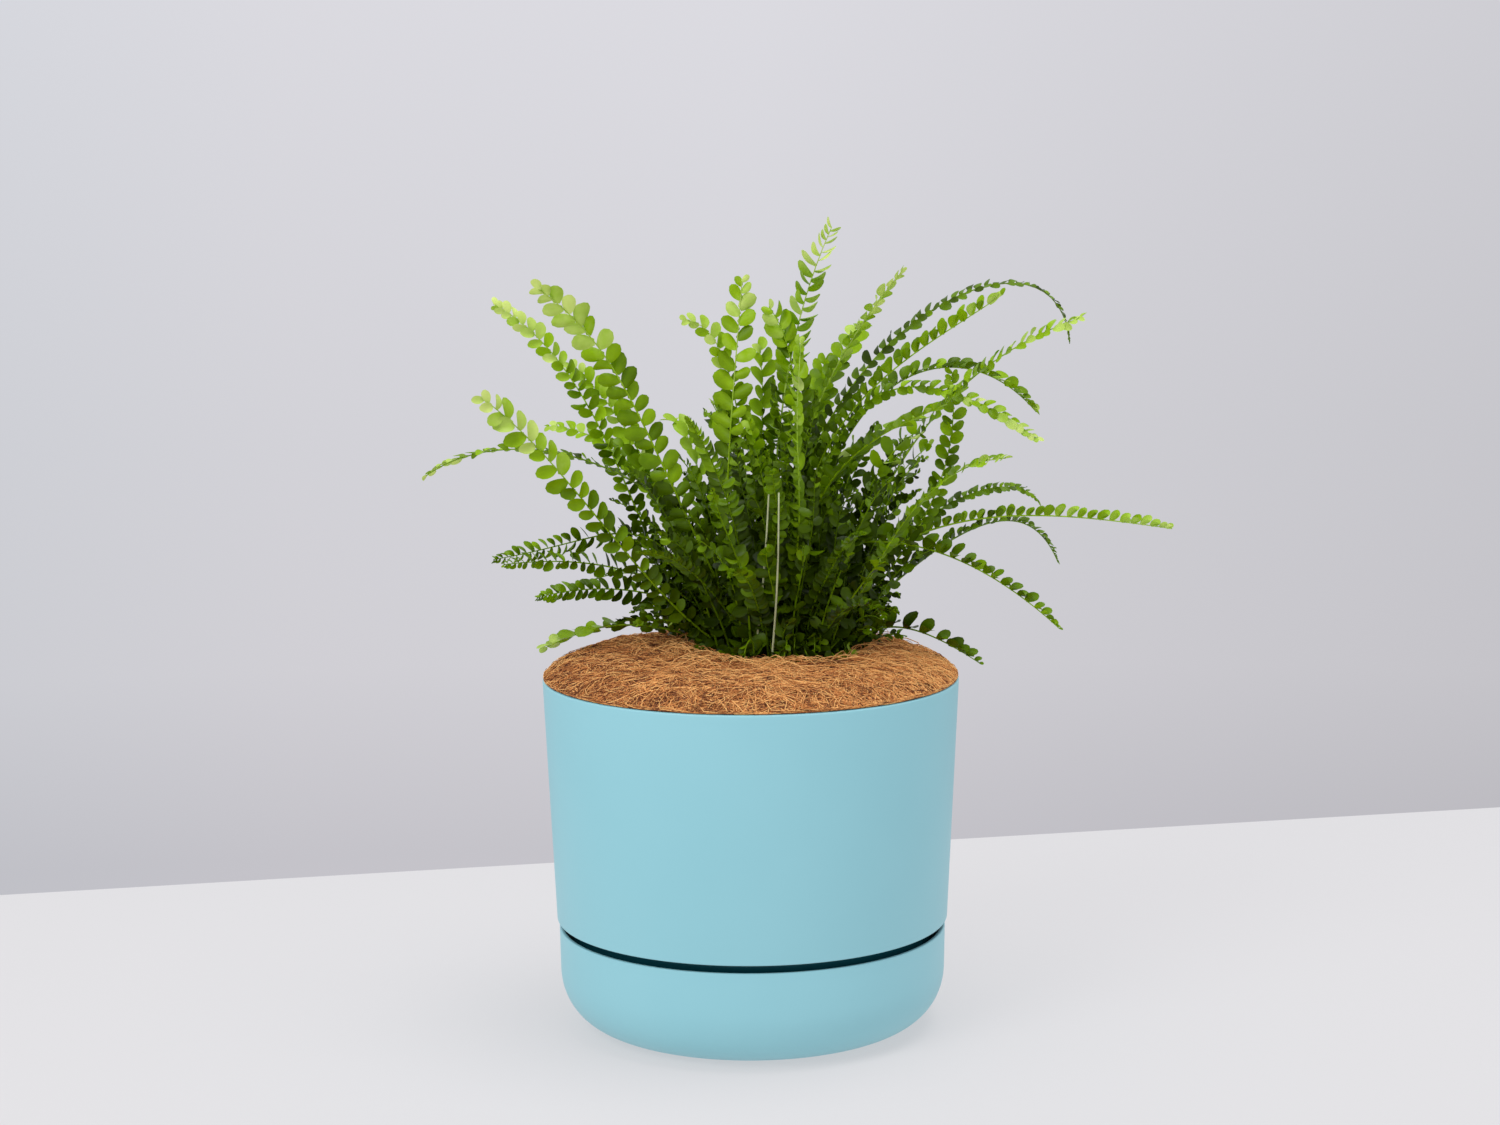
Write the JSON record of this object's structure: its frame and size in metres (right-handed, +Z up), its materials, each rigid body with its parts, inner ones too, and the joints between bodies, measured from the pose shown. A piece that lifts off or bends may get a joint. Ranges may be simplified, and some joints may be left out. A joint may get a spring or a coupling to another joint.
{
  "type": "self watering planter",
  "caption": "Round plastic planter that stands on a water reservoir saucer, with a wick basket, potting mix, a coir mulch mat and a button fern.",
  "frame": {"origin": "middle of the saucer's flat foot, on the ground", "axes": "+Z up; the pot is round about Z, and the viewer stands on the -Y side"},
  "size_m": [0.4456, 0.3002, 0.4787],
  "materials": {
    "pot_plastic": "satin moulded polypropylene, pale blue",
    "inner_plastic": "matte moulded polypropylene, charcoal",
    "potting_mix": "damp crumbly bark and peat mix",
    "coir": "matted coconut fibre",
    "root_ball": "fine roots bound with soil",
    "foliage": "soft satin leaf"
  },
  "bodies": {
    "saucer": {"reservoir_saucer": "pot_plastic"},
    "pot": {"pot_shell": "pot_plastic", "wick_basket": "inner_plastic", "drainage_platform": "inner_plastic"},
    "bedding": {"potting_mix": "potting_mix", "coir_mulch": "coir"},
    "fern": {"root_ball": "root_ball", "fern_clump": "foliage", "frond_01": "foliage", "frond_02": "foliage", "frond_03": "foliage", "frond_04": "foliage", "frond_05": "foliage", "frond_06": "foliage", "frond_07": "foliage", "frond_08": "foliage", "frond_09": "foliage", "frond_10": "foliage", "frond_11": "foliage", "frond_12": "foliage", "frond_13": "foliage", "frond_14": "foliage", "frond_15": "foliage", "frond_16": "foliage", "frond_17": "foliage", "frond_18": "foliage", "frond_19": "foliage", "frond_20": "foliage", "frond_21": "foliage", "frond_22": "foliage", "frond_23": "foliage", "frond_24": "foliage", "frond_25": "foliage", "frond_26": "foliage", "frond_27": "foliage", "frond_28": "foliage", "frond_29": "foliage", "frond_30": "foliage", "frond_31": "foliage", "frond_32": "foliage", "frond_33": "foliage", "frond_34": "foliage", "frond_35": "foliage", "frond_36": "foliage", "frond_37": "foliage", "frond_38": "foliage", "frond_39": "foliage", "frond_40": "foliage", "frond_41": "foliage", "frond_42": "foliage", "frond_43": "foliage"}
  },
  "joints": [
    {"name": "pot_lift", "type": "slide", "parent": "saucer", "child": "pot", "axis": [0, 0, 1], "range_m": [0, 0.12]},
    {"name": "bedding_lift", "type": "slide", "parent": "pot", "child": "bedding", "axis": [0, 0, 1], "range_m": [0, 0.2]},
    {"name": "fern_lift", "type": "slide", "parent": "bedding", "child": "fern", "axis": [0, 0, 1], "range_m": [0, 0.16]}
  ]
}
